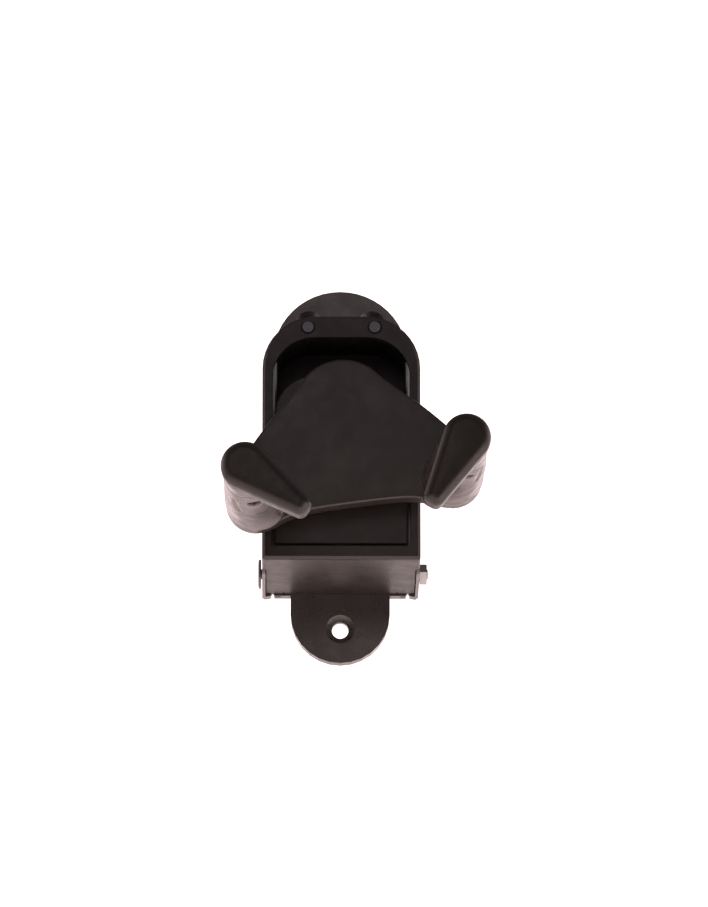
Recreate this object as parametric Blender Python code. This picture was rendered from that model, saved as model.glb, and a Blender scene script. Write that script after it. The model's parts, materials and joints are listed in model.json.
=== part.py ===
"""Wall guitar hanger whose gates close when the instrument's weight pulls the yoke down.

Modelled in millimetres and stored in metres. X is to the right seen from the front, +Y points to the
wall and +Z is up. The origin is the centre of the wall plate's back face. The hanger is stored loaded:
carriage down on its bumper, yoke swung a few degrees to one side, gates closed.
"""
import math

import bmesh
import bpy

MM = 0.001
ROUND_SIDES = 28             # facets round a turned piece
SMALL_SIDES = 16             # facets round screws, pins and their holes

# Overall layout
REACH = 110.0                # front plane of the gates to the wall
PLATE_TOP = 58.0
PLATE_BOTTOM = -58.0
PLATE_THICKNESS = 4.0
PLATE_HALF_WIDTH = 20.5
PLATE_TAB_RADIUS = 15.0
PLATE_EDGE = -37.2           # lower edge of the plate beside the tab
FLANGE_THICKNESS = 1.0       # side flanges that hold the cross bolt
FLANGE_BOTTOM = -37.5
FLANGE_FRONT = -35.6
FLANGE_TOP = -24.0
WALL_HOLES = ((-9.5, 47.5), (9.5, 47.5), (0.0, -47.5))
ARM_LEVEL = -18.0            # height of the two arm axes when the yoke hangs level
PIVOT_HEIGHT = 11.0          # height of the yoke's swivel axis
YOKE_ROLL = 7.6              # degrees the yoke hangs out of level

# Arms and gates
ARM_HALF_SPACING = 32.9      # at the gates' front plane
ARM_SPLAY = 3.6              # degrees each arm opens towards the front
GATE_THICKNESS = 8.0
GATE_ROUND_RADIUS = 7.0
GATE_TIP_HALF_WIDTH = 3.15
GATE_TIP_CORNER = 2.3
GATE_REACH = 22.9            # from the shaft to the blunt end of the tip
GATE_FILLET = 2.0
GATE_ANGLE_LEFT = 44.0       # degrees below the inward horizontal, measured in the yoke
GATE_ANGLE_RIGHT = 54.4
COLLAR_RADIUS = 6.9
COLLAR_END = 15.0
SLEEVE_START = 15.3
SLEEVE_END = 48.2
SLEEVE_FRONT_RADIUS = 7.2
SLEEVE_MIDDLE_RADIUS = 8.0
SLEEVE_REAR_RADIUS = 8.7
TUBE_RADIUS = 5.0
TUBE_BORE = 4.0
SHAFT_RADIUS = 2.5
CLEARANCE = 0.3

# Linkage inside the yoke
CRANK_RADIUS = 13.66
CRANK_ANGLE = 55.0           # degrees above the inward horizontal with the gates closed
PIN_RADIUS = 1.5
DRAW_SLOT_LEVEL = -17.49     # below the pivot, end slots of the draw bar
POST_LEVEL = -12.0           # below the pivot, reaction post with the carriage down
POST_RADIUS = 2.0

# Yoke shell, depths from the wall
SHELL_FRONT = -61.0
SHELL_REAR = -54.0
SHELL_WALL = 1.6
LOBE_CENTRE = (29.6, -28.6)  # lower end of the shell round each arm, from the swivel axis
LOBE_RADIUS = 8.7
PLATE_INSET = 0.6            # the back plate stays this far inside the shell
BACK_PLATE_FRONT = -53.7
BACK_PLATE_REAR = -51.7
STOP_PIN_OFFSET = 8.8
STOP_PIN_RADIUS = 1.25
SWIVEL_LIMIT = 15.0
YOKE_SCREWS = ((14.5, -3.5), (30.7, -19.7))

# Housing, depths from the wall
HOUSING_HALF_WIDTH = 23.6
HOUSING_BOTTOM = -36.6
HOUSING_TOP = 38.0
HOUSING_CORNER = 16.0
COVER_FRONT = -50.5
COVER_REAR = -49.3
HOUSING_FRONT = -48.7
HOUSING_REAR = -4.3
MID_WALL_FRONT = -29.0
MID_WALL_REAR = -26.0
WINDOW_HALF_WIDTH = 20.8
WINDOW_BOTTOM = -32.65
WINDOW_TOP = 31.5
ROD_OFFSET = 20.4
ROD_DEPTH = -46.2
ROD_RADIUS = 1.5
CROSS_BOLT_DEPTH = -9.0
CROSS_BOLT_HEIGHT = -31.7
CROSS_BOLT_RADIUS = 1.5
COVER_SCREW_OFFSET = 10.0
COVER_SCREW_HEIGHT = 34.7

# Carriage
CARRIAGE_HALF_WIDTH = 19.9
CARRIAGE_FRONT = -49.8
CARRIAGE_REAR = -30.2
CARRIAGE_BOTTOM = -32.1
CARRIAGE_TOP = 20.0
SPRING_OFFSET = 10.0
SPRING_DEPTH = -39.0
SPRING_RADIUS = 3.3
SPRING_WIRE = 0.5
SPRING_TURNS = 8


def clear_scene():
    for item in list(bpy.data.objects):
        bpy.data.objects.remove(item, do_unlink=True)


def material(name, colour, roughness, metallic):
    mat = bpy.data.materials.new(name)
    mat.use_nodes = True
    shader = mat.node_tree.nodes["Principled BSDF"]
    shader.inputs["Base Color"].default_value = (*colour, 1.0)
    shader.inputs["Roughness"].default_value = roughness
    shader.inputs["Metallic"].default_value = metallic
    return mat


def place(item, parent, location, rotation):
    item.parent = parent
    item.location = [value * MM for value in location]
    item.rotation_euler = [math.radians(value) for value in rotation]


def frame(name, location, rotation=(0, 0, 0), parent=None):
    """An empty that carries the pieces modelled in its own axes."""
    item = bpy.data.objects.new(name, None)
    bpy.context.collection.objects.link(item)
    place(item, parent, location, rotation)
    return item


def skin(name, rings, mat=None, parent=None, location=(0, 0, 0), rotation=(0, 0, 0), closed=False):
    """Join rings of points into one body, capped at both ends or closed into a loop.

    Without a material the body is a guide for a Boolean and isn't part of the object.
    """
    shape = bmesh.new()
    loops = [[shape.verts.new([value * MM for value in point]) for point in ring] for ring in rings]
    pairs = list(zip(loops, loops[1:]))
    if closed:
        pairs.append((loops[-1], loops[0]))
    for first, second in pairs:
        count = len(first)
        for i in range(count):
            j = (i + 1) % count
            shape.faces.new((first[i], first[j], second[j], second[i]))
    if not closed:
        shape.faces.new(loops[0])
        shape.faces.new(loops[-1])
    bmesh.ops.recalc_face_normals(shape, faces=shape.faces)
    mesh = bpy.data.meshes.new(name)
    shape.to_mesh(mesh)
    shape.free()
    mesh.shade_smooth()
    mesh.set_sharp_from_angle(angle=math.radians(35))
    item = bpy.data.objects.new(name, mesh)
    bpy.context.collection.objects.link(item)
    place(item, parent, location, rotation)
    if mat:
        mesh.materials.append(mat)
    else:
        item.hide_render = True
        item.display_type = 'WIRE'
    return item


def circle(radius, depth, sides):
    turn = 2 * math.pi / sides
    return [(radius * math.cos(i * turn), depth, radius * math.sin(i * turn)) for i in range(sides)]


def turned(name, profile, mat=None, sides=ROUND_SIDES, **position):
    """Solid of revolution about local Y from (radius, depth) pairs."""
    return skin(name, [circle(radius, depth, sides) for radius, depth in profile], mat, **position)


def turned_ring(name, profile, mat=None, sides=ROUND_SIDES, **position):
    """Hollow turned piece about local Y from a closed loop of (radius, depth) pairs."""
    rings = [circle(radius, depth, sides) for radius, depth in profile]
    return skin(name, rings, mat, closed=True, **position)


def upright(name, profile, mat=None, sides=SMALL_SIDES, **position):
    """Turned piece whose axis stands upright, its profile running from the bottom to the top."""
    return turned(name, profile, mat, sides, rotation=(90, 0, 0), **position)


def at_depth(outline, depth):
    return [(x, depth, z) for x, z in outline]


def prism(name, outline, start, end, mat=None, chamfer=0.0, **position):
    """Extrude an (x, z) outline along Y, with its front edge chamfered if asked."""
    rings = [at_depth(outline, start), at_depth(outline, end)]
    if chamfer:
        rings = [at_depth(inset(outline, chamfer), start), at_depth(outline, start + chamfer), rings[1]]
    return skin(name, rings, mat, **position)


def block(name, x_range, y_range, z_range, mat=None, **position):
    outline = [(x_range[0], z_range[0]), (x_range[1], z_range[0]),
               (x_range[1], z_range[1]), (x_range[0], z_range[1])]
    return prism(name, outline, y_range[0], y_range[1], mat, **position)


def inset(outline, distance):
    """Move each point of a counter-clockwise outline inwards along its own normal."""
    result = []
    count = len(outline)
    for i in range(count):
        before, after = outline[i - 1], outline[(i + 1) % count]
        dx, dz = after[0] - before[0], after[1] - before[1]
        length = math.hypot(dx, dz)
        result.append((outline[i][0] - distance * dz / length, outline[i][1] + distance * dx / length))
    return result


def arc(cx, cz, radius, start, end, steps):
    """Points on a circle, counter-clockwise seen from the front, angles in degrees."""
    angles = [math.radians(start + (end - start) * i / steps) for i in range(steps + 1)]
    return [(cx + radius * math.cos(a), cz + radius * math.sin(a)) for a in angles]


def rounded_outline(half_width, bottom, top, bottom_radius, top_radius):
    """Upright rounded rectangle, counter-clockwise from its lower right corner."""
    x_low, x_high = half_width - bottom_radius, half_width - top_radius
    return (arc(x_low, bottom + bottom_radius, bottom_radius, -90, 0, 4)
            + arc(x_high, top - top_radius, top_radius, 0, 90, 10)
            + arc(-x_high, top - top_radius, top_radius, 90, 180, 10)
            + arc(-x_low, bottom + bottom_radius, bottom_radius, 180, 270, 4))


def slot_outline(cx, cz, half_length, half_height, steps=8):
    """Horizontal slot with round ends."""
    reach = half_length - half_height
    return (arc(cx + reach, cz, half_height, -90, 90, steps)
            + arc(cx - reach, cz, half_height, 90, 270, steps))


def link_outline(length, near_radius, far_radius, steps=7):
    """Outline of two circles joined by tangents, the far one at distance length along +X."""
    tangent = math.degrees(math.acos((near_radius - far_radius) / length))
    return (arc(length, 0, far_radius, -tangent, tangent, steps)
            + arc(0, 0, near_radius, tangent, 360 - tangent, 2 * steps))


def gate_outline(reduction):
    """Teardrop with a blunt tip along +X, shrunk all round by the reduction."""
    near = GATE_ROUND_RADIUS - reduction
    corner = max(GATE_TIP_CORNER - reduction, 0.1)
    x = GATE_REACH - reduction - corner
    z = GATE_TIP_HALF_WIDTH - reduction - corner
    tangent = math.degrees(math.atan2(z, x) + math.acos((near - corner) / math.hypot(x, z)))
    return (arc(x, -z, corner, -tangent, 0, 4) + arc(x, z, corner, 0, tangent, 4)
            + arc(0, 0, near, tangent, 360 - tangent, 14))


def smooth_closed(points, steps):
    """Closed Catmull-Rom curve through the points."""
    result = []
    count = len(points)
    for i in range(count):
        p0, p1, p2, p3 = (points[(i + k) % count] for k in (-1, 0, 1, 2))
        for k in range(steps):
            t = k / steps
            result.append(tuple(
                0.5 * (2 * b + (c - a) * t + (2 * a - 5 * b + 4 * c - d) * t * t
                       + (3 * b - a - 3 * c + d) * t ** 3)
                for a, b, c, d in zip(p0, p1, p2, p3)))
    return result


def boolean(target, tool, operation):
    modifier = target.modifiers.new(tool.name, 'BOOLEAN')
    modifier.operation = operation
    modifier.solver = 'EXACT'
    modifier.object = tool


def cut(target, *tools):
    for tool in tools:
        boolean(target, tool, 'DIFFERENCE')


def add(target, *tools):
    for tool in tools:
        boolean(target, tool, 'UNION')


def yoke_outline():
    """Arch that joins the two arm lobes below to the swivel hub above, about the swivel axis."""
    right = [(14.0, -33.4), (20.6, -34.7), (24.8, -36.3)]
    right += arc(*LOBE_CENTRE, LOBE_RADIUS, -98, 28, 7)
    right += [(34.8, -19.8), (30.4, -14.0), (23.3, -6.2), (17.0, -0.4), (12.2, 4.4), (9.0, 7.8), (4.8, 10.1)]
    left = [(-x, z) for x, z in reversed(right)]
    return smooth_closed([(0.0, -33.1)] + right + [(0.0, 10.9)] + left, 2)


def housing_outline(gap=0.0):
    """The housing's outline, or one that stays the given gap inside it."""
    return rounded_outline(HOUSING_HALF_WIDTH - gap, HOUSING_BOTTOM + gap, HOUSING_TOP - gap,
                           0.8, HOUSING_CORNER - gap)


def window_outline():
    return rounded_outline(WINDOW_HALF_WIDTH, WINDOW_BOTTOM, WINDOW_TOP, 0.6, 12.9)


def across(name, profile, mat=None, sides=SMALL_SIDES):
    """Turned piece or bore on the cross bolt's axis, its profile running from left to right."""
    return turned(name, profile, mat, sides, rotation=(0, 0, -90),
                  location=(0, CROSS_BOLT_DEPTH, CROSS_BOLT_HEIGHT))


def cross_bore(name):
    radius = CROSS_BOLT_RADIUS + CLEARANCE
    return across(name, [(radius, -27), (radius, 27)])


def plate_side():
    """Right-hand side of the wall plate's outline from the tab up to the top arch."""
    edge, width = PLATE_EDGE, HOUSING_HALF_WIDTH
    notch = [(19.9, edge), (20.4, edge + 1.5), (21.0, edge)]
    corner = arc(width - 1.0, FLANGE_BOTTOM + 1.0, 1.0, -90, 0, 4)
    shoulder = [(width, FLANGE_TOP), (PLATE_HALF_WIDTH, FLANGE_TOP + 3)]
    return [(PLATE_TAB_RADIUS, edge)] + notch + corner + shoulder


def build_wall_plate(steel):
    side_points = plate_side()
    outline = (arc(0, PLATE_BOTTOM + PLATE_TAB_RADIUS, PLATE_TAB_RADIUS, 180, 360, 14)
               + side_points
               + arc(0, PLATE_TOP - PLATE_HALF_WIDTH, PLATE_HALF_WIDTH, 0, 180, 24)
               + [(-x, z) for x, z in reversed(side_points)])
    plate = prism("wall_plate", outline, -PLATE_THICKNESS, 0, steel)
    profile = (arc(FLANGE_FRONT + 2, FLANGE_BOTTOM + 2, 2, 180, 270, 4)
               + [(-2.0, FLANGE_BOTTOM), (-2.0, FLANGE_TOP)]
               + arc(FLANGE_FRONT + 2, FLANGE_TOP - 2, 2, 90, 180, 4))
    for side in (-1, 1):
        outer = side * HOUSING_HALF_WIDTH
        inner = side * (HOUSING_HALF_WIDTH - FLANGE_THICKNESS)
        flange = skin(f"guide_flange_{side}", [[(x, y, z) for y, z in profile] for x in (outer, inner)])
        add(plate, flange)
        slot = block(f"guide_lip_slot_{side}", (side * 18.75 - 0.85, side * 18.75 + 0.85), (-3.2, -2.2),
                     (-38, -35.6))
        cut(plate, slot)
    cut(plate, cross_bore("guide_flange_bore"))
    for index, (x, z) in enumerate(WALL_HOLES):
        hole = turned(f"guide_wall_screw_{index}", [(4.8, -4.4), (4.4, -4.0), (2.5, -1.9), (2.5, 1)],
                      sides=28, location=(x, 0, z))
        cut(plate, hole)


def build_housing(plastic):
    shell = prism("housing_shell", housing_outline(), HOUSING_FRONT, HOUSING_REAR, plastic)
    front_room = prism("guide_front_room", window_outline(), HOUSING_FRONT - 1, MID_WALL_FRONT)
    rear_room = prism("guide_rear_room", rounded_outline(19.8, -34.0, 34.2, 1.0, 12.2),
                      MID_WALL_REAR, HOUSING_REAR + 1)
    cut(shell, front_room, rear_room)
    for side in (-1, 1):
        rod_bore = upright(f"guide_rod_bore_{side}", [(1.8, -34.6), (1.8, 25.3)],
                           location=(side * ROD_OFFSET, ROD_DEPTH, 0))
        screw_bore = turned(f"guide_cover_bore_{side}", [(1.2, -50), (1.2, -38)], sides=SMALL_SIDES,
                            location=(side * COVER_SCREW_OFFSET, 0, COVER_SCREW_HEIGHT))
        hook_slot = block(f"guide_hook_slot_{side}", (side * 9 - 3.3, side * 9 + 3.3), (-50, -42.7),
                          (-35.5, -33.2))
        recess = block(f"guide_recess_{side}", (side * 23.5 - 1.2, side * 23.5 + 1.2),
                       (FLANGE_FRONT - 0.3, 0), (-40, FLANGE_TOP + 0.3))
        slit = block(f"guide_slit_{side}", (side * 17.1 - 0.25, side * 17.1 + 0.25), (-6.0, 0),
                     (-40, -35.6))
        cut(shell, rod_bore, screw_bore, hook_slot, recess, slit)
    post_bore = turned("guide_post_bore", [(2.3, -31), (2.3, -24)], sides=SMALL_SIDES,
                       location=(0, 0, PIVOT_HEIGHT + POST_LEVEL))
    cut(shell, post_bore, cross_bore("guide_bolt_bore"))


def build_cover(plastic):
    cover = prism("front_cover", housing_outline(), COVER_FRONT, COVER_REAR, plastic, chamfer=0.8)
    for side in (-1, 1):
        hook = block(f"guide_hook_{side}", (side * 9 - 3, side * 9 + 3), (-49.9, -43), (-35.2, -33.5))
        add(cover, hook)
    cut(cover, prism("guide_window", window_outline(), COVER_FRONT - 1, COVER_REAR + 1))
    for side in (-1, 1):
        bore = turned(f"guide_cover_screw_{side}", [(2.4, -51), (2.2, -50.3), (1.2, -49.6), (1.2, -48)],
                      sides=SMALL_SIDES, location=(side * COVER_SCREW_OFFSET, 0, COVER_SCREW_HEIGHT))
        cut(cover, bore)


def build_housing_hardware(steel, dark_steel, rubber):
    for side, name in ((-1, "left"), (1, "right")):
        rod = [(1.2, -34.3), (ROD_RADIUS, -34.0), (ROD_RADIUS, 24.7), (1.2, 25.0)]
        upright(f"guide_rod_{name}", rod, steel, location=(side * ROD_OFFSET, ROD_DEPTH, 0))
        turned(f"cover_screw_{name}", [(1.7, -50.4), (1.8, -50.2), (0.9, -49.4), (0.9, -39)],
               dark_steel, sides=SMALL_SIDES,
               location=(side * COVER_SCREW_OFFSET, 0, COVER_SCREW_HEIGHT))
    turned("reaction_post", [(1.6, -57.1), (POST_RADIUS, -56.7), (POST_RADIUS, -25.7), (4.2, -25.7),
                             (4.2, -24.2)], steel, sides=SMALL_SIDES,
           location=(0, 0, PIVOT_HEIGHT + POST_LEVEL))
    bolt_radius = CROSS_BOLT_RADIUS
    across("cross_bolt", [(3.9, -24.8), (4.45, -24.5), (4.45, -23.9), (bolt_radius, -23.9),
                          (bolt_radius, 26.4)], dark_steel, sides=ROUND_SIDES)
    nut = across("cross_nut", [(3.2, 23.9), (3.2, 26.1)], steel, sides=6)
    cut(nut, across("guide_cross_nut", [(bolt_radius + CLEARANCE, 23), (bolt_radius + CLEARANCE, 27)]))
    block("bumper", (-4.4, 4.4), (-43.4, -34.6), (WINDOW_BOTTOM + 0.3, -29.9), rubber)


def build_carriage(plastic):
    outline = rounded_outline(CARRIAGE_HALF_WIDTH, CARRIAGE_BOTTOM, CARRIAGE_TOP, 0.8, 12.0)
    carriage = prism("carriage", outline, CARRIAGE_FRONT, CARRIAGE_REAR, plastic, chamfer=0.5)
    for side in (-1, 1):
        groove = upright(f"guide_rod_groove_{side}", [(1.85, -40), (1.85, 30)],
                         location=(side * ROD_OFFSET, ROD_DEPTH, 0))
        pocket = upright(f"guide_spring_pocket_{side}", [(4.6, -34), (4.6, -12)], sides=ROUND_SIDES,
                         location=(side * SPRING_OFFSET, SPRING_DEPTH, 0))
        cut(carriage, groove, pocket)
    post_slot = prism("guide_post_slot",
                      arc(0, -1, 2.6, 0, 180, 8) + arc(0, -11, 2.6, 180, 360, 8), -51, -29)
    bumper_room = block("guide_bumper_room", (-5, 5), (-44, -34), (-34, -29.6))
    pivot_bore = turned("guide_pivot_bore", [(4.3, -51), (4.3, -37.3), (6.4, -37.3), (6.4, -29)],
                        location=(0, 0, PIVOT_HEIGHT))
    pin_bore = turned("guide_stop_bore", [(1.55, -51), (1.55, -41.7)], sides=SMALL_SIDES,
                      location=(STOP_PIN_OFFSET, 0, PIVOT_HEIGHT))
    cut(carriage, post_slot, bumper_room, pivot_bore, pin_bore)
    return carriage


def build_carriage_hardware(steel, dark_steel):
    bolt = turned("pivot_bolt", [(4.6, -56.8), (5.2, -56.2), (5.2, -54.0), (4.0, -54.0), (4.0, -37.1),
                                 (3.0, -37.1), (3.0, -32.8)], dark_steel, location=(0, 0, PIVOT_HEIGHT))
    cut(bolt, turned("guide_hex_socket", [(2.9, -58), (2.9, -54.6)], sides=6,
                     location=(0, 0, PIVOT_HEIGHT)))
    turned_ring("pivot_washer", [(6.8, -51.4), (6.8, -50.1), (4.3, -50.1), (4.3, -51.4)], steel,
                location=(0, 0, PIVOT_HEIGHT))
    nut = turned("pivot_nut", [(5.7, -36.7), (5.7, -33.4)], steel, sides=6,
                 location=(0, 0, PIVOT_HEIGHT))
    cut(nut, turned("guide_pivot_nut", [(3.3, -38), (3.3, -32)],
                    location=(0, 0, PIVOT_HEIGHT)))
    turned("swivel_stop_pin", [(1.25, -53.4), (1.25, -42.0)], steel, sides=SMALL_SIDES,
           location=(STOP_PIN_OFFSET, 0, PIVOT_HEIGHT))


def build_spring(name, x, steel):
    """Helical compression spring standing on the housing floor, with flat end turns."""
    steps, sides = 12, 5
    low = WINDOW_BOTTOM + 0.3 + SPRING_WIRE
    high = -12.3 - SPRING_WIRE
    closed_pitch = 2 * SPRING_WIRE + 0.15
    open_turns = SPRING_TURNS - 2
    open_pitch = (high - low - 2 * closed_pitch) / open_turns
    rings = []
    for i in range(SPRING_TURNS * steps + 1):
        turn = i / steps
        end_turns = min(turn, 1.0) + max(turn - SPRING_TURNS + 1, 0.0)
        height = low + closed_pitch * end_turns + open_pitch * min(max(turn - 1, 0.0), open_turns)
        angle = 2 * math.pi * turn
        ring = []
        for k in range(sides):
            tilt = 2 * math.pi * k / sides
            radius = SPRING_RADIUS + SPRING_WIRE * math.cos(tilt)
            ring.append((radius * math.cos(angle), radius * math.sin(angle),
                         height + SPRING_WIRE * math.sin(tilt)))
        rings.append(ring)
    skin(name, rings, steel, location=(x, SPRING_DEPTH, 0))


def build_yoke(plastic, steel, dark_steel, yoke):
    outline = yoke_outline()
    rings = [at_depth(inset(outline, 1.1), SHELL_FRONT), at_depth(inset(outline, 0.35), SHELL_FRONT + 0.3),
             at_depth(outline, SHELL_FRONT + 1.1), at_depth(outline, SHELL_REAR)]
    shell = skin("yoke_shell", rings, plastic, parent=yoke)
    cut(shell, prism("guide_yoke_room", inset(outline, SHELL_WALL), SHELL_FRONT + SHELL_WALL,
                     SHELL_REAR + 1, parent=yoke))
    plate = prism("yoke_back_plate", inset(outline, PLATE_INSET), BACK_PLATE_FRONT, BACK_PLATE_REAR, steel,
                  parent=yoke)
    cut(plate, turned("guide_plate_pivot", [(4.3, -55), (4.3, -51)], parent=yoke))
    cut(plate, prism("guide_plate_window", rounded_outline(8.0, -26.0, -9.0, 1.5, 1.5), -55, -51,
                     parent=yoke))
    half_angle = SWIVEL_LIMIT + math.degrees((STOP_PIN_RADIUS + CLEARANCE) / STOP_PIN_OFFSET)
    stop_slot = (arc(0, 0, STOP_PIN_OFFSET + 1.55, -half_angle, half_angle, 10)
                 + arc(0, 0, STOP_PIN_OFFSET - 1.55, half_angle, -half_angle, 10))
    cut(plate, prism("guide_stop_slot", stop_slot, -55, -51, parent=yoke))
    number = 0
    for side in (-1, 1):
        for x, z in YOKE_SCREWS:
            number += 1
            build_yoke_screw(number, (side * x, 0, z), shell, plate, dark_steel, yoke)
    return shell


def build_yoke_screw(number, spot, shell, plate, dark_steel, yoke):
    """Countersunk screw through the back plate into a boss inside the shell."""
    position = {"sides": SMALL_SIDES, "parent": yoke, "location": spot}
    add(shell, turned(f"guide_boss_{number}", [(1.9, -60.0), (1.9, -54.0)], **position))
    cut(shell, turned(f"guide_thread_{number}", [(1.15, -59.3), (1.15, -53)], **position))
    sink = [(1.15, -55), (1.15, -53.0), (2.2, -51.9), (2.2, -51)]
    cut(plate, turned(f"guide_sink_{number}", sink, **position))
    screw = [(0.85, -58.9), (0.85, -52.9), (1.85, -51.9), (1.85, -51.8)]
    turned(f"yoke_screw_{number}", screw, dark_steel, **position)


def build_draw_bar(steel, yoke):
    """Plate that hangs on the reaction post and turns both cranks as the yoke drops."""
    half = [(12.0, -20.8), (25.1, -20.8), (25.1, -14.0), (13.6, -14.0), (10.2, -7.5)]
    outline = half + [(-x, z) for x, z in reversed(half)] + [(-9.8, -16.0), (9.8, -16.0)]
    bar = prism("draw_bar", outline, -56.1, -54.5, steel, parent=yoke)
    for side in (-1, 1):
        cut(bar, prism(f"guide_end_slot_{side}", slot_outline(side * 18.7, DRAW_SLOT_LEVEL, 4.9, 1.97),
                       -58, -53, parent=yoke))
    cut(bar, prism("guide_post_window", slot_outline(0, POST_LEVEL + 0.35, 8.1, 2.7), -58, -53,
                   parent=yoke))


def build_arm(name, side, gate_angle, crank_angle, shell, yoke, mats):
    """One arm in its own frame: local Y runs back along the gate shaft from the gate's front plane."""
    arm = frame(f"arm_{name}", (side * ARM_HALF_SPACING, -REACH, ARM_LEVEL - PIVOT_HEIGHT),
                (0, 0, side * ARM_SPLAY), yoke)
    cut(shell, turned(f"guide_arm_bore_{name}", [(5.3, 45), (5.3, 52)], parent=arm))
    tube = [(4.7, 15.5), (TUBE_RADIUS, 15.8), (TUBE_RADIUS, 51.8), (TUBE_BORE, 51.8), (TUBE_BORE, 15.5)]
    turned_ring(f"arm_tube_{name}", tube, mats["steel"], parent=arm)
    sleeve = [(6.9, SLEEVE_START), (SLEEVE_FRONT_RADIUS, SLEEVE_START + 0.5), (SLEEVE_MIDDLE_RADIUS, 32),
              (SLEEVE_REAR_RADIUS, 44), (SLEEVE_REAR_RADIUS, 47.4), (8.2, SLEEVE_END), (5.3, SLEEVE_END),
              (5.3, SLEEVE_START)]
    turned_ring(f"sleeve_{name}", sleeve, mats["foam"], parent=arm)
    for place_name, start in (("front", 16.0), ("rear", 45.0)):
        turned_ring(f"bush_{place_name}_{name}", [(3.7, start), (3.7, start + 6), (2.8, start + 6),
                                                  (2.8, start)], mats["bush"], parent=arm)
    shaft = [(2.2, 3.5), (SHAFT_RADIUS, 3.8), (SHAFT_RADIUS, 55.3), (2.2, 55.6)]
    turned(f"gate_shaft_{name}", shaft, mats["steel"], parent=arm)
    turned_ring(f"gate_collar_{name}", [(6.3, 8.3), (COLLAR_RADIUS, 8.9), (COLLAR_RADIUS, 14.4),
                                        (6.4, COLLAR_END), (2.8, COLLAR_END), (2.8, 8.3)],
                mats["rubber"], parent=arm)
    build_gate(f"gate_{name}", arm, gate_angle, mats["rubber"])
    crank = prism(f"crank_{name}", link_outline(CRANK_RADIUS, 3.5, 2.6), 52.1, 53.85, mats["steel"],
                  parent=arm, rotation=(0, crank_angle, 0))
    add(crank, turned(f"guide_pin_{name}", [(PIN_RADIUS, 53.0), (PIN_RADIUS, 56.2), (1.2, 56.5)],
                      sides=SMALL_SIDES, parent=crank, location=(CRANK_RADIUS, 0, 0)))
    cut(crank, turned(f"guide_crank_bore_{name}", [(2.8, 51), (2.8, 55)], parent=crank))
    turned_ring(f"shaft_clip_{name}", [(3.6, 54.3), (3.6, 55.0), (2.8, 55.0), (2.8, 54.3)],
                mats["dark_steel"], sides=SMALL_SIDES, parent=arm)


def build_gate(name, arm, angle, rubber):
    """Teardrop plate with a soft front edge, its round end on the shaft and its tip along local X."""
    rings = []
    for step in range(4):
        turn = math.radians(90 * step / 3)
        outline = gate_outline(GATE_FILLET * (1 - math.sin(turn)))
        rings.append(at_depth(outline, GATE_FILLET * (1 - math.cos(turn))))
    rings.append(at_depth(gate_outline(0.0), GATE_THICKNESS - 0.8))
    rings.append(at_depth(gate_outline(0.6), GATE_THICKNESS))
    gate = skin(name, rings, rubber, parent=arm, rotation=(0, angle, 0))
    cut(gate, turned(f"guide_{name}_bore", [(2.8, 3.2), (2.8, 9)], parent=arm))


def main():
    clear_scene()
    steel = material("zinc_steel", (0.62, 0.63, 0.65), 0.28, 1.0)
    dark_steel = material("blackened_steel", (0.10, 0.11, 0.12), 0.40, 0.9)
    plastic = material("moulded_plastic", (0.026, 0.023, 0.021), 0.45, 0.0)
    plate_paint = material("black_plate", (0.030, 0.028, 0.027), 0.50, 0.0)
    rubber = material("gate_rubber", (0.030, 0.027, 0.025), 0.48, 0.0)
    foam = material("sleeve_foam", (0.075, 0.068, 0.062), 0.55, 0.0)
    bush = material("acetal", (0.75, 0.73, 0.68), 0.40, 0.0)

    build_wall_plate(plate_paint)
    build_housing(plastic)
    build_cover(plastic)
    build_housing_hardware(steel, dark_steel, rubber)
    build_carriage(plastic)
    build_carriage_hardware(steel, dark_steel)
    for side, name in ((-1, "left"), (1, "right")):
        build_spring(f"return_spring_{name}", side * SPRING_OFFSET, steel)

    yoke = frame("yoke_frame", (0, 0, PIVOT_HEIGHT), (0, -YOKE_ROLL, 0))
    shell = build_yoke(plastic, steel, dark_steel, yoke)
    build_draw_bar(steel, yoke)
    mats = {"steel": steel, "dark_steel": dark_steel, "rubber": rubber, "foam": foam, "bush": bush}
    build_arm("left", -1, GATE_ANGLE_LEFT, -CRANK_ANGLE, shell, yoke, mats)
    build_arm("right", 1, 180 - GATE_ANGLE_RIGHT, 180 + CRANK_ANGLE, shell, yoke, mats)


main()
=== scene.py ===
"""Looks of the wall guitar hanger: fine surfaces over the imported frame, materials, light and camera.

Lengths are in millimetres and angles in degrees, unless a comment says otherwise.
"""
import json
import math

import bmesh
import bpy
import numpy as np
from mathutils import Matrix, Vector, noise


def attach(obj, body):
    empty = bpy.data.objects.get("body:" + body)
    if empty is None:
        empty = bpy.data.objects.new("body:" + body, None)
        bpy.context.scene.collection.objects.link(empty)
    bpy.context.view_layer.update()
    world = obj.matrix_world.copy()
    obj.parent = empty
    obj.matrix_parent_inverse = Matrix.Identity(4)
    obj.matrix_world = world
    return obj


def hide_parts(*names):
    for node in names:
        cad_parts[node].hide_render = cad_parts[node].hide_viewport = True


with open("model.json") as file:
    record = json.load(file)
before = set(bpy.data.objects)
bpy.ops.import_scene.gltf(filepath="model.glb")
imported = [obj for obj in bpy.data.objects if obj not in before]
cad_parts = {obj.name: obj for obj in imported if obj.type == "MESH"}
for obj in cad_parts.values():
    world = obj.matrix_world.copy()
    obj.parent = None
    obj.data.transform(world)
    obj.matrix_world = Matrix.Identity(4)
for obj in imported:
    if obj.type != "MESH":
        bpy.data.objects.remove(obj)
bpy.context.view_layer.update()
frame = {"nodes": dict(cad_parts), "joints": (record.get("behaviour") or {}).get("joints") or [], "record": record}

MM = 0.001
JOINTS = {joint["name"]: joint for joint in frame["joints"]}
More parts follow.
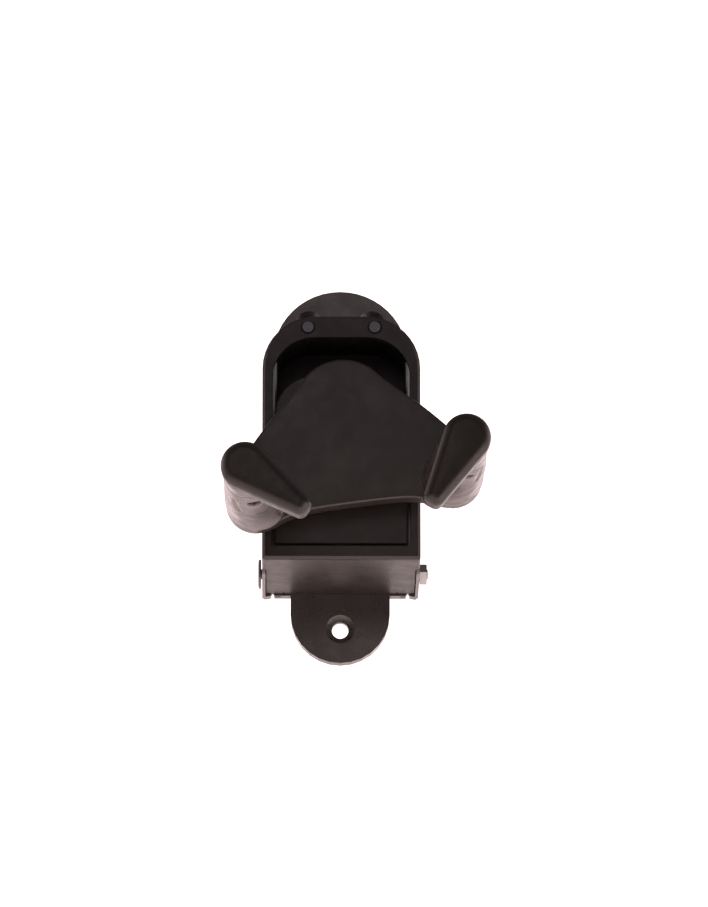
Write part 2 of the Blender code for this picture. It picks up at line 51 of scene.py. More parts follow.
SHARP_ANGLE = 50             # between two faces: from here on their edge is shaded as sharp

# Gates, in each arm's own frame: local Y runs back along the gate shaft
GATE_ROUND_RADIUS = 7.1
GATE_TIP_HALF_WIDTH = 3.15
GATE_TIP_CORNER = 2.3
GATE_REACH = 22.9            # from the shaft to the blunt end of the tip
GATE_ARC_STEPS = 10          # round each corner of the tip
GATE_FLANK_STEPS = 10
GATE_TIP_STEPS = 4
GATE_FILLET = 2.4
GATE_FILLET_DEPTH = 2.7
GATE_FILLET_SHAPE = 1.3      # 1 would be an ellipse, 2 a flat chamfer
GATE_DRAFT = 0.05
GATE_CROWN = 0.25            # the middle of the face stands this far in front of its edge
GATE_ANGLES = {"left": 44.0, "right": 180 - 54.4}
# Reduction of the outline and depth, from the end of the front fillet to the rear face
GATE_SIDE = ((0.03, 4.2), (0.0, 5.6), (0.0, 7.0), (0.05, 7.4), (0.2, 7.7), (0.45, 7.93), (1.0, 8.0),
             (1.8, 8.0))

# Collars: radius and depth, from the front bead over the outside and back through the bore
COLLAR_PROFILE = ((5.9, 8.15), (6.3, 8.25), (6.6, 8.55), (6.7, 9.2), (6.75, 11.5), (6.85, 13.6), (6.93, 14.8),
                  (6.9, 15.0), (6.8, 15.08), (5.6, 15.1), (2.8, 15.1), (2.8, 8.15))
COLLAR_SIDES = 96

# Sleeves: depth and radius, from the front face over the outside to the rear face
SLEEVE_PROFILE = ((15.22, 6.0), (15.22, 6.8), (15.28, 6.92), (15.5, 6.98), (18, 7.15), (22, 7.35), (27, 7.7),
                  (32, 8.0), (37, 8.2), (42, 8.4), (46, 8.6), (48.2, 8.7), (48.7, 8.6), (48.85, 8.2),
                  (48.85, 5.4))
SLEEVE_BORE = 5.4
SLEEVE_BORE_DEPTHS = (48.1, 15.4)
SLEEVE_MEAN_RADIUS = 8.0     # turns angles into lengths round the foam
SLEEVE_SIDES = 180
SLEEVE_STEP = 0.25
HOLE_DEPTH = 1.7
UNEVEN_START = 15.3          # the unevenness grows from here over its first length
UNEVEN_FIRST_LENGTH = 2.5
UNEVEN_END = 48.8            # and fades to here over its last length
UNEVEN_LAST_LENGTH = 1.6
FOOT_START = 40.5            # swelling of the rear end, on the lower inner side
FOOT_LENGTH = 7.0
FOOT_HEIGHT = 1.1
FOOT_ANGLES = {"left": -35, "right": -145}
UNDERSIDE_FLAT = 0.25        # how far the foam is pressed flat along its underside
LUMPS = ((0.20, 1.3, 0.13), (0.03, 3.0, 0.35))      # height, scale round the arm and scale along it
LUMP_OFFSETS = {"left": 0.0, "right": 40.0}

# Darkening of the foam: painted shade in the creases and the drain hole deeper than a limit, and a darker, duller
# patch low on the inner side
CREASE_SHADE_LIMIT = 0.15
CREASE_SHADE_GAIN = 2.0
DARK_PATCH_ANGLES = {"left": -62, "right": -118}
DARK_PATCH_DEPTH = 36.0
DARK_PATCH_LENGTH = 8.0
DARK_PATCH_WIDTH = 0.6             # radians round the arm
DARK_PATCH_AMOUNT = 0.75

# Yoke shell, in the yoke's frame
YOKE_FRONT = -61.0
YOKE_REAR = -54.0
YOKE_WALL = 1.6
YOKE_CROWN = 0.12            # fall of the front face towards its edge
YOKE_EDGE = 0.14             # from the front plane back to the start of the fillet
YOKE_FILLET = 0.7
LOBE_CENTRE = (29.6, -28.6)
LOBE_RADIUS = 8.7
YOKE_CURVE_STEPS = 5         # between two points of the outline

# Materials by slot: base colour, roughness and whatever differs from the plain recipe
RUBBERS = {
    "gate_rubber": {"base": (0.0140, 0.0094, 0.0078), "rough": 0.38, "pores": 0.10, "specular": 0.44},
    "collar_rubber": {"base": (0.045, 0.032, 0.031), "rough": 0.26, "pores": 0.04, "specular": 0.9},
    # sleeve_foam: painted shade in its creases and drain hole, and one darker patch, from the mesh's own values
    "sleeve_foam": {"base": (0.046, 0.031, 0.030), "rough": 0.28, "pores": 0.05, "lumps": 0.05,
                    "specular": 1.0, "shade_and_patch": True},
    "bumper_rubber": {"base": (0.012, 0.012, 0.012), "rough": 0.6},
}
PLASTICS = {
    "yoke_plastic": {"base": (0.021, 0.0165, 0.0150), "rough": 0.36},
    "housing_plastic": {"base": (0.021, 0.0155, 0.0145), "rough": 0.42, "grain": 0.05, "specular": 0.33},
    "cover_plastic": {"base": (0.016, 0.0110, 0.0100), "rough": 0.42, "grain": 0.2},
    "carriage_plastic": {"base": (0.014, 0.0095, 0.0085), "rough": 0.40, "grain": 0.1},
    "plate_paint": {"base": (0.045, 0.036, 0.035), "rough": 0.30, "grain": 0.2, "mottling": 0.15,
                    "specular": 0.8},
    "bush_plastic": {"base": (0.68, 0.65, 0.58), "rough": 0.4, "grain": 0.05, "mottling": 0.06},
}
METALS = {
    "plate_steel": {"base": (0.16, 0.155, 0.15), "rough": 0.36, "brush": (1, 1, 12), "strength": 0.2},
    "zinc_steel": {"base": (0.42, 0.42, 0.43), "rough": 0.30, "brush": (1, 12, 1)},
    "bright_steel": {"base": (0.38, 0.37, 0.37), "rough": 0.32, "brush": (1, 1, 8), "strength": 0.06},
    "spring_steel": {"base": (0.50, 0.50, 0.51), "rough": 0.28},
    "blackened_steel": {"base": (0.13, 0.13, 0.145), "rough": 0.36, "brush": (6, 6, 6), "strength": 0.1},
}

# Edge rounding of the pieces that keep their CAD shape
EDGE_WIDTHS = {
    "housing_shell": 0.35, "front_cover": 0.25, "carriage": 0.3, "wall_plate": 0.3, "cross_nut": 0.2,
    "bumper": 0.3, "draw_bar": 0.15, "yoke_back_plate": 0.15, "crank_left": 0.15, "crank_right": 0.15,
}
EDGE_ANGLE = 42              # between two faces: from here on their edge is rounded
EDGE_SEGMENTS = 3

# Camera: the hanger is seen from the front and from below
VIEW_DEPTH = -110.0          # the gates' front plane
VIEW_AIM = (3.25, -19.23)    # x and z of the point that the camera looks at, in that plane
VIEW_AZIMUTH = 0.5           # towards -X
VIEW_ELEVATION = -14.0
VIEW_DISTANCE = 2500.0
LENS = 341.0
SENSOR_WIDTH = 36.0
VIEW_LIMIT = 50.0            # metres

# Surroundings: colours by direction, and where along each direction they change
WORLD_DIM = (0.075, 0.070, 0.068)
WORLD_SIDE = (0.17, 0.158, 0.155)
WORLD_WHITE = (1.0, 0.82, 0.81)
WORLD_ABOVE = (0.10, 0.088, 0.086)
SIDE_POSITION = 0.42         # 0 is straight behind the viewer, 1 is straight ahead
WHITE_POSITION = 0.60
ABOVE_START = 0.34           # 0 is level, 1 is straight up
ABOVE_END = 0.62
WORLD_STRENGTH = 1.9

# Floor and soft lights, in metres: place, target, width, height, power in watts and colour
FLOOR_HALF_SIZE = 9.0
FLOOR_LEVEL = -1.6
LIGHTS = {
    "floor_wash": ((0.4, 1.75, -0.75), (0.4, 1.75, -1.6), 8.0, 6.5, 275.0, (1.0, 0.83, 0.81)),
    "right_light": ((2.2, -0.5, -1.1), (0, -0.08, 0), 1.5, 1.5, 10.0, (1.0, 0.87, 0.85)),
    "under_light": ((0.3, -0.9, -1.45), (0, -0.06, 0), 1.6, 1.2, 5.0, (1.0, 0.86, 0.84)),
    "front_light": ((-0.3, -2.9, 0.85), (0, -0.06, 0), 1.2, 1.2, 3.5, (1.0, 0.88, 0.86)),
}


# Node trees

def new_material(name):
    mat = bpy.data.materials.new(name)
    mat.use_nodes = True
    tree = mat.node_tree
    return mat, tree, tree.nodes["Principled BSDF"]


def node(tree, kind, links=(), **settings):
    """Add a node; settings that name a socket set its value, the others set a property."""
    item = tree.nodes.new(kind)
    for key, value in settings.items():
        if key in item.inputs:
            item.inputs[key].default_value = value
        else:
            setattr(item, key, value)
    for socket, source in links:
        tree.links.new(source, item.inputs[socket])
    return item


def coordinates(tree, stretch=(1, 1, 1)):
    """Object coordinates in millimetres, stretched per axis."""
    place = node(tree, "ShaderNodeTexCoord")
    scale = node(tree, "ShaderNodeMapping", [("Vector", place.outputs["Object"])])
    scale.inputs["Scale"].default_value = [value / MM for value in stretch]
    return scale.outputs["Vector"]


def ramp(tree, source, stops):
    """Colour ramp whose stops are a position and a grey value or a colour."""
    item = node(tree, "ShaderNodeValToRGB", [("Fac", source)])
    while len(item.color_ramp.elements) < len(stops):
        item.color_ramp.elements.new(0.5)
    for element, (position, colour) in zip(item.color_ramp.elements, stops):
        element.position = position
        element.color = (*colour, 1.0) if isinstance(colour, tuple) else (colour, colour, colour, 1.0)
    return item.outputs["Color"]


def noise_map(tree, vector, scale, detail=4.0, rough=0.55):
    """Noise of a scale in cycles per millimetre."""
    item = node(tree, "ShaderNodeTexNoise", [("Vector", vector)])
    item.inputs["Scale"].default_value = scale
    item.inputs["Detail"].default_value = detail
    item.inputs["Roughness"].default_value = rough
    return item.outputs["Fac"]


def bump_chain(tree, shader, layers):
    """Stack bump layers of (height, strength, distance in millimetres) into the shader's normal."""
    normal = None
    for height, strength, distance in layers:
        links = [("Height", height)] + ([("Normal", normal)] if normal else [])
        item = node(tree, "ShaderNodeBump", links)
        item.inputs["Strength"].default_value = strength
        item.inputs["Distance"].default_value = distance * MM
        normal = item.outputs["Normal"]
    tree.links.new(normal, shader.inputs["Normal"])


def blended(tree, amount, source, colour):
    """Mix a colour output towards a constant colour by a factor output."""
    item = node(tree, "ShaderNodeMix", [("Factor", amount)], data_type="RGBA")
    tree.links.new(source, item.inputs["A"])
    item.inputs["B"].default_value = (*colour, 1.0)
    return item.outputs["Result"]


def tone(base, factor):
    """Darker or lighter version of a colour."""
    return tuple(min(channel * factor, 1.0) for channel in base)


# Materials

def moulded(name, base, rough, grain=0.12, mottling=0.25, specular=0.5):
    """Moulded plastic with a fine spark-eroded grain, slight mottling and rubbed glossier patches."""
    mat, tree, shader = new_material(name)
    vector = coordinates(tree)
    patches = noise_map(tree, vector, scale=0.09, detail=5.0, rough=0.6)
    wear = noise_map(tree, vector, scale=0.22, detail=4.0)
    fine_grain = noise_map(tree, vector, scale=5.5, detail=2.0, rough=0.7)
    ripple = noise_map(tree, vector, scale=0.5, detail=2.0)
    colour = ramp(tree, patches, [(0.3, tone(base, 1 - mottling)), (0.7, tone(base, 1 + mottling))])
    gloss = ramp(tree, wear, [(0.3, rough - 0.06), (0.75, rough + 0.08)])
    tree.links.new(colour, shader.inputs["Base Color"])
    tree.links.new(gloss, shader.inputs["Roughness"])
    shader.inputs["Specular IOR Level"].default_value = specular
    bump_chain(tree, shader, [(fine_grain, grain, 0.05), (ripple, 0.02, 0.2)])
    return mat


def rubber(name, base, rough, pores=0.2, lumps=0.0, specular=0.5, shade_and_patch=False):
    """Satin moulded rubber: fine pores, a dusty bloom in patches and soft shallow unevenness.

    When asked, the mesh's own per-vertex values darken the colour and dull the gloss: painted shade in creases and
    the drain hole, and a darker, duller patch on the lower inner side.
    """
    mat, tree, shader = new_material(name)
    vector = coordinates(tree)
    patches = noise_map(tree, vector, scale=0.16, detail=6.0, rough=0.65)
    bloom = ramp(tree, patches, [(0.32, tone(base, 0.8)), (0.55, base), (0.78, tone(base, 1.35))])
    dust = noise_map(tree, vector, scale=1.9, detail=2.0, rough=0.8)
    specks = ramp(tree, dust, [(0.62, 0.0), (0.78, 1.0)])
    colour = blended(tree, specks, bloom, tone(base, 1.7))
    wear = noise_map(tree, vector, scale=0.3, detail=5.0)
    gloss = ramp(tree, wear, [(0.3, rough - 0.07), (0.72, rough + 0.1)])
    if shade_and_patch:
        # Painted shade: the mesh's values darken the colour and dull the gloss in creases, the drain hole and one
        # darker patch
        amount = node(tree, "ShaderNodeAttribute", attribute_name="shade_and_patch").outputs["Fac"]
        colour = blended(tree, amount, colour, tone(base, 0.08))
        gloss = blended(tree, amount, gloss, (1.0, 1.0, 1.0))
    tree.links.new(colour, shader.inputs["Base Color"])
    tree.links.new(gloss, shader.inputs["Roughness"])
    shader.inputs["Specular IOR Level"].default_value = specular
    cells = node(tree, "ShaderNodeTexVoronoi", [("Vector", vector)], feature="F1")
    cells.inputs["Scale"].default_value = 3.2
    dents = noise_map(tree, vector, scale=0.45, detail=2.0)
    layers = [(cells.outputs["Distance"], pores, 0.06), (dents, 0.05, 0.35)]
    if lumps:
        swells = noise_map(tree, vector, scale=0.30, detail=2.0, rough=0.5)
        layers.append((swells, lumps, 0.9))
    bump_chain(tree, shader, layers)
    return mat


def metal(name, base, rough, brush=(1, 1, 1), strength=0.12, tarnish=0.15):
    """Drawn, ground or plated steel: brush gives the direction of its fine lines."""
    mat, tree, shader = new_material(name)
    lines = noise_map(tree, coordinates(tree, brush), scale=4.0, detail=3.0, rough=0.6)
    cloud = noise_map(tree, coordinates(tree), scale=0.25, detail=5.0, rough=0.6)
    colour = ramp(tree, cloud, [(0.3, tone(base, 1 - tarnish)), (0.7, tone(base, 1 + tarnish * 0.5))])
    gloss = ramp(tree, lines, [(0.3, rough - 0.06), (0.7, rough + 0.1)])
    tree.links.new(colour, shader.inputs["Base Color"])
    tree.links.new(gloss, shader.inputs["Roughness"])
    shader.inputs["Metallic"].default_value = 1.0
    bump_chain(tree, shader, [(lines, strength, 0.03)])
    return mat


def make_materials():
    """Every finished material, by the name of its slot."""
    materials = {}
    for recipe, rows in ((rubber, RUBBERS), (moulded, PLASTICS), (metal, METALS)):
        for name, settings in rows.items():
            materials[name] = recipe(name, **settings)
    return materials


MATERIALS = make_materials()


# Geometry

def axes(origin, along, up):
    """Frame with local Y along one direction and local Z towards up, at an origin in metres."""
    along = Vector(along).normalized()
    side = along.cross(Vector(up)).normalized()
    up = side.cross(along)
    matrix = Matrix((side, along, up)).transposed().to_4x4()
    matrix.translation = Vector(origin)
    return matrix


YOKE_UP = Vector(JOINTS["draw"]["axis"])
YOKE = axes((0, 0, JOINTS["swivel"]["pos_m"][2]), (0, 1, 0), YOKE_UP)
ARMS = {
    "left": axes(JOINTS["left_gate_turn"]["pos_m"], JOINTS["left_gate_turn"]["axis"], YOKE_UP),
    "right": axes(JOINTS["right_gate_turn"]["pos_m"], -Vector(JOINTS["right_gate_turn"]["axis"]), YOKE_UP),
}


def skin(rings, loop):
    """Join rings of points in millimetres into a closed surface: a tube that is capped or looped."""
    shape = bmesh.new()
    loops = [[shape.verts.new(Vector(point) * MM) for point in ring] for ring in rings]
    pairs = list(zip(loops, loops[1:]))
    if loop:
        pairs.append((loops[-1], loops[0]))
    for first, second in pairs:
        count = len(first)
        for i in range(count):
            j = (i + 1) % count
            shape.faces.new((first[i], first[j], second[j], second[i]))
    if not loop:
        shape.faces.new(loops[0])
        shape.faces.new(loops[-1])
    bmesh.ops.recalc_face_normals(shape, faces=shape.faces)
    return shape


def piece(name, rings, mat, place, body, replaces, loop=False):
    """Named piece skinned from rings, set in its place, that rides on a body and replaces a CAD node."""
    shape = skin(rings, loop)
    shape.transform(place)
    mesh = bpy.data.meshes.new(name)
    shape.to_mesh(mesh)
    shape.free()
    mesh.shade_smooth()
    mesh.set_sharp_from_angle(angle=math.radians(SHARP_ANGLE))
    mesh.materials.append(MATERIALS[mat])
    item = bpy.data.objects.new(name, mesh)
    bpy.context.collection.objects.link(item)
    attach(item, body)
    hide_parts(*replaces)
    return item


def arc(cx, cz, radius, start, end, steps):
    """Points along an arc between two angles, both ends included."""
    angles = np.radians(np.linspace(start, end, steps + 1))
    return [(cx + radius * math.cos(a), cz + radius * math.sin(a)) for a in angles]


def at_depth(outline, depth):
    """Ring of points from an outline of x and z."""
    return [(x, depth, z) for x, z in outline]


def circle(radius, depth, sides):
    return at_depth(arc(0, 0, radius, 0, 360 - 360 / sides, sides - 1), depth)


def between(first, last, count):
    """Points spaced along a straight run, without its two ends."""
    return [tuple(np.array(first) + (np.array(last) - first) * k / count) for k in range(1, count)]


def smooth_closed(points, steps):
    """Closed Catmull-Rom curve through the points."""
    result = []
    count = len(points)
    for i in range(count):
        a, b, c, d = (np.array(points[(i + k) % count]) for k in (-1, 0, 1, 2))
        for t in np.arange(steps) / steps:
            bend = (2 * a - 5 * b + 4 * c - d) * t * t + (3 * b - a - 3 * c + d) * t ** 3
            result.append(tuple(0.5 * (2 * b + (c - a) * t + bend)))
    return result


def inset(outline, distance):
    """Move each point of a counter-clockwise outline inwards along its own normal."""
    points = np.array(outline)
    along = np.roll(points, -1, axis=0) - np.roll(points, 1, axis=0)
    along /= np.linalg.norm(along, axis=1)[:, None]
    normal = np.stack((-along[:, 1], along[:, 0]), axis=1)
    return [tuple(point) for point in points + normal * distance]


def towards_centre(outline, share):
    """Shrink an outline about the mean of its points."""
    centre = np.mean(outline, axis=0)
    return [tuple(centre + (np.array(point) - centre) * share) for point in outline]


# Gates and collars

def gate_outline(reduction):
    """Teardrop with a blunt tip along +X, shrunk all round by the reduction."""
    near = GATE_ROUND_RADIUS - reduction
    corner = max(GATE_TIP_CORNER - reduction, 0.1)
    x = GATE_REACH - reduction - corner
    z = max(GATE_TIP_HALF_WIDTH - reduction - corner, 0.02)
    tangent = math.degrees(math.atan2(z, x) + math.acos((near - corner) / math.hypot(x, z)))
    low = arc(x, -z, corner, -tangent, 0, GATE_ARC_STEPS)
    high = arc(x, z, corner, 0, tangent, GATE_ARC_STEPS)
    back = arc(0, 0, near, tangent, 360 - tangent, 4 * GATE_ARC_STEPS)
    tip = between(low[-1], high[0], GATE_TIP_STEPS)
    upper_flank = between(high[-1], back[0], GATE_FLANK_STEPS)
    lower_flank = between(back[-1], low[0], GATE_FLANK_STEPS)
    return low + tip + high + upper_flank + back + lower_flank


def build_gate(name):
    """Soft-edged teardrop: slightly crowned face, full front fillet, straight side, small rear fillet."""
    inner = gate_outline(GATE_FILLET + GATE_DRAFT)
    rings = []
    for share in (0.05, 0.25, 0.5, 0.75, 0.92):
        rings.append(at_depth(towards_centre(inner, share), GATE_CROWN * share ** 2))
    for degrees in range(0, 91, 10):
        turn = math.radians(degrees)
        inwards = GATE_FILLET * (1 - math.sin(turn) ** GATE_FILLET_SHAPE)
        depth = GATE_CROWN + GATE_FILLET_DEPTH * (1 - math.cos(turn) ** GATE_FILLET_SHAPE)
        rings.append(at_depth(gate_outline(GATE_DRAFT + inwards), depth))
    for reduction, depth in GATE_SIDE:
        rings.append(at_depth(gate_outline(reduction), depth))
    place = ARMS[name] @ Matrix.Rotation(math.radians(GATE_ANGLES[name]), 4, 'Y')
    piece(f"gate_{name}_pad", rings, "gate_rubber", place, f"{name}_gate", replaces=(f"gate_{name}",))


def build_collar(name):
    """Round collar between the gate and the sleeve, with a fine bead at each end."""
    rings = [circle(radius, depth, COLLAR_SIDES) for radius, depth in COLLAR_PROFILE]
    piece(f"gate_{name}_collar", rings, "collar_rubber", ARMS[name], f"{name}_gate",
          replaces=(f"gate_collar_{name}",), loop=True)


# Sleeves

def crease_field(depth, angle, marks):
    """Sum of the marks, as depths into the foam: each is (points of depth and angle, width, amount).

    A crease has soft sides and the hole has steep ones. A faint ridge runs along each mark.
    """
    total = np.zeros_like(depth)
    around = angle * SLEEVE_MEAN_RADIUS
    for points, width, amount in marks:
        nearest = np.full(depth.shape, np.inf)
        line = [(d, math.radians(a) * SLEEVE_MEAN_RADIUS) for d, a in points]
        for (d0, s0), (d1, s1) in zip(line, line[1:]):
            run = (d1 - d0) ** 2 + (s1 - s0) ** 2
            share = ((depth - d0) * (d1 - d0) + (around - s0) * (s1 - s0)) / run
            share = np.clip(share, 0.0, 1.0)
            gap = np.hypot(depth - d0 - share * (d1 - d0), around - s0 - share * (s1 - s0))
            nearest = np.minimum(nearest, gap)
        sharpness = 8 if amount == HOLE_DEPTH else 2
        total += amount * np.exp(-(nearest / width) ** sharpness)
        ridge = min(0.2 * amount, 0.08)
        total -= ridge * np.exp(-((nearest - 2.2 * width) / (1.3 * width)) ** 2)
    return total


def sleeve_marks(name):
    """Drain hole, creases and dents, as angles round the arm in degrees (-90 is straight down)."""
    hole = [([(22.6, -91), (22.8, -78)], 1.3, HOLE_DEPTH)]
    creases = [
        ([(32, -52), (34, -66), (33, -82)], 0.42, 0.30),
        ([(22, -136), (26, -131), (31, -124)], 0.75, 0.28),
        ([(44.2, -40), (45.6, -35), (44.4, -31), (46.2, -27)], 0.34, 0.36),
        ([(38, -108), (40.5, -99), (41, -88)], 1.1, 0.16),
        ([(26, -20), (30, -12), (35, -16)], 0.8, 0.18),
        ([(33, 20), (36, 40), (34, 66)], 0.9, 0.16),
        ([(24, 100), (27, 120), (25, 146)], 0.9, 0.16),
        ([(40, 96), (42, 124), (39, 150)], 0.9, 0.17),
        ([(29, -176), (33, -170), (37, -174)], 0.7, 0.18),
    ]
    if name == "right":
        creases = [([(d, -180 - a) for d, a in points], width, amount) for points, width, amount in creases]
    return hole + creases


def wrapped(marks):
    """Repeat each mark one turn either side, so that creases cross the seam."""
    return [([(d, a + turn) for d, a in points], width, amount)
            for points, width, amount in marks for turn in (-360, 0, 360)]


def sleeve_grid():
    """Depth, plain radius and angle of every vertex outside the bore, one row per ring."""
    depths, radii = [], []
    for (d0, r0), (d1, r1) in zip(SLEEVE_PROFILE, SLEEVE_PROFILE[1:]):
        count = max(1, round(math.hypot(d1 - d0, r1 - r0) / SLEEVE_STEP))
        for k in range(count):
            depths.append(d0 + (d1 - d0) * k / count)
            radii.append(r0 + (r1 - r0) * k / count)
    angles = np.linspace(-math.pi, math.pi, SLEEVE_SIDES, endpoint=False)
    depth, angle = np.meshgrid(depths, angles, indexing='ij')
    radius = np.meshgrid(radii, angles, indexing='ij')[0]
    return depth, radius, angle


def sleeve_fade(depth):
    """Share of the unevenness at a depth: none at the two lips, which stay round."""
    front = np.clip((depth - UNEVEN_START) / UNEVEN_FIRST_LENGTH, 0.0, 1.0)
    rear = np.clip((UNEVEN_END - depth) / UNEVEN_LAST_LENGTH, 0.0, 1.0)
    return front * rear


def sleeve_foot(name, depth, angle):
    """Swelling of the foam's rear end, on its lower inner side."""
    inward = math.radians(FOOT_ANGLES[name])
    along = np.clip((depth - FOOT_START) / FOOT_LENGTH, 0.0, 1.0) ** 2
    around = np.clip(np.cos(angle - inward), 0.0, 1.0) ** 1.5
    return FOOT_HEIGHT * (along * around)


def sleeve_lumps(name, depth, angle):
    """Unevenness of the foam: broad lumps and a finer ripple."""
    total = np.zeros_like(depth)
    offset = LUMP_OFFSETS[name]
    x, z = np.cos(angle), np.sin(angle)
    for index in np.ndindex(depth.shape):
        for height, around, along in LUMPS:
            spot = Vector((x[index] * around, depth[index] * along + offset, z[index] * around))
            total[index] += height * noise.noise(spot)
    return total


def mark_shade_and_patch(sleeve, name, depth, angle, creases):
    """Store at each vertex how far to darken the foam: painted shade in the creases and the drain hole, and the
    darker patch; the bore gets none.
    """
    # A darker, duller patch low on the inner side of each sleeve
    patch_angle = math.radians(DARK_PATCH_ANGLES[name])
    distance = ((depth - DARK_PATCH_DEPTH) / DARK_PATCH_LENGTH) ** 2 + ((angle - patch_angle) / DARK_PATCH_WIDTH) ** 2
    patch_darkening = DARK_PATCH_AMOUNT * np.exp(-distance)
    # Painted shade in the creases and drain hole, plus the darker patch
    total_darkening = np.clip(CREASE_SHADE_GAIN * np.maximum(creases - CREASE_SHADE_LIMIT, 0.0) + patch_darkening, 0.0, 1.0)
    values = np.zeros(len(sleeve.data.vertices))
    values[:total_darkening.size] = total_darkening.ravel()
    shade_and_patch = sleeve.data.attributes.new("shade_and_patch", 'FLOAT', 'POINT')
    shade_and_patch.data.foreach_set("value", values)


def build_sleeve(name):
    """Foam sleeve pulled over the arm tube: tapered, flattened below, lumpy and creased."""
    depth, radius, angle = sleeve_grid()
    fade = sleeve_fade(depth)
    creases = fade * crease_field(depth, angle, wrapped(sleeve_marks(name)))
    below = np.clip(-np.sin(angle), 0.0, 1.0)
    radius = radius + sleeve_foot(name, depth, angle) - UNDERSIDE_FLAT * below ** 6 * fade - creases
    radius = radius + sleeve_lumps(name, depth, angle) * fade
    rings = [list(zip(*row)) for row in zip(radius * np.cos(angle), depth, radius * np.sin(angle))]
    for bore_depth in SLEEVE_BORE_DEPTHS:
        rings.append([(SLEEVE_BORE * math.cos(a), bore_depth, SLEEVE_BORE * math.sin(a)) for a in angle[0]])
    sleeve = piece(f"sleeve_{name}_foam", rings, "sleeve_foam", ARMS[name], "yoke",
                   replaces=(f"sleeve_{name}",), loop=True)
    mark_shade_and_patch(sleeve, name, depth, angle, creases)


# Yoke shell

def yoke_outline():
    """Arch that joins the two arm lobes below to the swivel hub above, about the swivel axis."""
    lobe = arc(*LOBE_CENTRE, LOBE_RADIUS, -98, 28, 10)
    right = [(14.0, -33.5), (20.6, -34.8), (24.8, -36.4)] + lobe
    right += [(34.8, -19.8), (30.4, -14.0), (23.3, -6.2), (17.0, -0.4), (12.2, 4.4), (9.0, 7.8), (4.8, 10.1)]
    left = [(-x, z) for x, z in reversed(right)]
    return smooth_closed([(0.0, -33.2)] + right + [(0.0, 10.9)] + left, YOKE_CURVE_STEPS)


def yoke_outside(outline):
    """Rings from the middle of the crowned front, round the fillet and back to the rear edge."""
    face = inset(outline, YOKE_WALL)
    rings = []
    for share in (0.15, 0.4, 0.65, 0.85):
        rings.append(at_depth(towards_centre(face, share), YOKE_FRONT + YOKE_CROWN * share ** 2))
    for degrees in range(0, 91, 15):
        turn = math.radians(degrees)
        depth = YOKE_FRONT + YOKE_EDGE + YOKE_FILLET * (1 - math.cos(turn))
        rings.append(at_depth(inset(outline, YOKE_FILLET * (1 - math.sin(turn))), depth))
    for depth in np.linspace(YOKE_FRONT + 1.6, YOKE_REAR - 0.5, 4):
        rings.append(at_depth(outline, depth))
    rings.append(at_depth(inset(outline, 0.08), YOKE_REAR - 0.2))
    rings.append(at_depth(inset(outline, 0.3), YOKE_REAR))
    return rings


def yoke_inside(outline):
    """Rings from the rear edge forwards along the wall and over the inner face."""
    inner = inset(outline, YOKE_WALL)
    rings = [at_depth(inset(outline, YOKE_WALL - 0.1), YOKE_REAR)]
    rings.append(at_depth(inner, YOKE_REAR - 0.1))
    rings.append(at_depth(inner, YOKE_FRONT + YOKE_WALL))
    for share in (0.6, 0.15):
        rings.append(at_depth(towards_centre(inner, share), YOKE_FRONT + YOKE_WALL))
    return rings


def build_yoke():
    """Yoke shell: softly crowned front, full fillet all round, open at the back over the linkage."""
    outline = yoke_outline()
    rings = yoke_outside(outline) + yoke_inside(outline)
    piece("yoke_front_shell", rings, "yoke_plastic", YOKE, "yoke", replaces=("yoke_shell",))


# CAD nodes that stay visible

def round_edges(item, width):
    bevel = item.modifiers.new("edge_rounding", 'BEVEL')
    bevel.width = width * MM
    bevel.segments = EDGE_SEGMENTS
    bevel.limit_method = 'ANGLE'
    bevel.angle_limit = math.radians(EDGE_ANGLE)
    bevel.use_clamp_overlap = True
    shading = item.modifiers.new("even_shading", 'WEIGHTED_NORMAL')
    shading.keep_sharp = True


def smooth_wire(item):
    smooth = item.modifiers.new("smooth_wire", 'SUBSURF')
    smooth.levels = 1
    smooth.render_levels = 1


def finish_frame():
    """Give every CAD node the finished material of its slot; round the edges of the nodes listed in EDGE_WIDTHS
    and smooth the return springs' wire.
    """
    slots = {row["node"]: row["material_slot"] for row in frame["record"]["subparts"]}
    for name, item in frame["nodes"].items():
        item.data.materials.clear()
        item.data.materials.append(MATERIALS[slots[name]])
        if name in EDGE_WIDTHS:
            round_edges(item, EDGE_WIDTHS[name])
        if name.startswith("return_spring"):
            smooth_wire(item)


# Stage

def build_floor():
    """Plain pale paper floor, slightly uneven in tone."""
    shape = bmesh.new()
    corners = [shape.verts.new((x * FLOOR_HALF_SIZE, y * FLOOR_HALF_SIZE, 0))
               for x, y in ((-1, -1), (1, -1), (1, 1), (-1, 1))]
    shape.faces.new(corners)
    mesh = bpy.data.meshes.new("floor")
    shape.to_mesh(mesh)
    shape.free()
    mat, tree, shader = new_material("floor_paper")
    clouds = noise_map(tree, coordinates(tree), scale=0.01, detail=3.0)
    paper = ramp(tree, clouds, [(0.3, (0.84, 0.83, 0.82)), (0.7, (0.88, 0.87, 0.86))])
    tree.links.new(paper, shader.inputs["Base Color"])
    shader.inputs["Roughness"].default_value = 0.8
    mesh.materials.append(mat)
    floor = bpy.data.objects.new("floor", mesh)
    bpy.context.collection.objects.link(floor)
    floor.location = (0, 0, FLOOR_LEVEL)


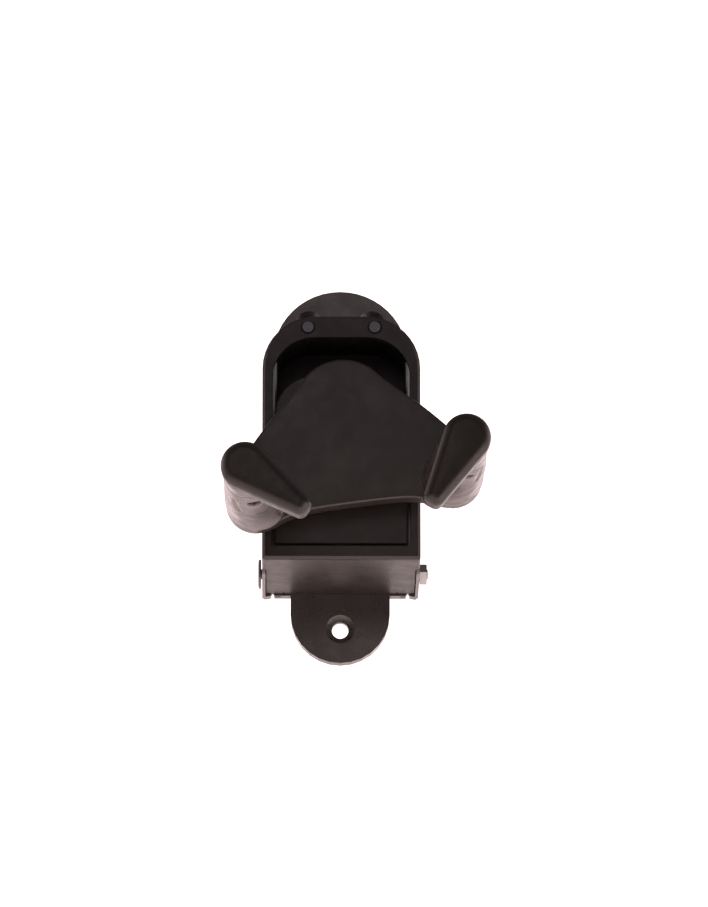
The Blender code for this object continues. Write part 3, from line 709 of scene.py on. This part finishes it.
def area_light(name, location, target, width, height, power, colour):
    data = bpy.data.lights.new(name, 'AREA')
    data.shape = 'RECTANGLE'
    data.size = width
    data.size_y = height
    data.energy = power
    data.color = colour
    lamp = bpy.data.objects.new(name, data)
    bpy.context.collection.objects.link(lamp)
    lamp.location = location
    lamp.rotation_euler = (Vector(target) - Vector(location)).to_track_quat('-Z', 'Y').to_euler()


def build_world():
    """White sweep ahead of the viewer and below the hanger; dim above and behind the viewer."""
    world = bpy.data.worlds.new("studio")
    bpy.context.scene.world = world
    world.use_nodes = True
    tree = world.node_tree
    background = tree.nodes["Background"]
    place = node(tree, "ShaderNodeTexCoord")
    split = node(tree, "ShaderNodeSeparateXYZ", [("Vector", place.outputs["Generated"])])
    ahead = node(tree, "ShaderNodeMapRange", [("Value", split.outputs["Y"])],
                 **{"From Min": -1.0, "From Max": 1.0}).outputs["Result"]
    sweep = ramp(tree, ahead, [(0.0, WORLD_DIM), (SIDE_POSITION, WORLD_SIDE), (WHITE_POSITION, WORLD_WHITE),
                               (1.0, WORLD_WHITE)])
    above = node(tree, "ShaderNodeMapRange", [("Value", split.outputs["Z"])],
                 **{"From Min": ABOVE_START, "From Max": ABOVE_END}).outputs["Result"]
    tree.links.new(blended(tree, above, sweep, WORLD_ABOVE), background.inputs["Color"])
    background.inputs["Strength"].default_value = WORLD_STRENGTH


def build_camera():
    aim = Vector((VIEW_AIM[0], VIEW_DEPTH, VIEW_AIM[1])) * MM
    tilt = math.radians(VIEW_ELEVATION)
    turn = math.radians(VIEW_AZIMUTH)
    back = Vector((-math.sin(turn) * math.cos(tilt), -math.cos(turn) * math.cos(tilt), math.sin(tilt)))
    data = bpy.data.cameras.new("camera")
    data.lens = LENS
    data.sensor_width = SENSOR_WIDTH
    data.clip_end = VIEW_LIMIT
    camera = bpy.data.objects.new("camera", data)
    bpy.context.collection.objects.link(camera)
    camera.location = aim + back * VIEW_DISTANCE * MM
    camera.rotation_euler = (-back).to_track_quat('-Z', 'Y').to_euler()
    bpy.context.scene.camera = camera


def build_stage():
    build_floor()
    build_world()
    for name, settings in LIGHTS.items():
        area_light(name, *settings)
    build_camera()
    bpy.context.scene.view_settings.view_transform = 'Standard'


finish_frame()
build_yoke()
for arm_name in ("left", "right"):
    build_gate(arm_name)
    build_collar(arm_name)
    build_sleeve(arm_name)
build_stage()
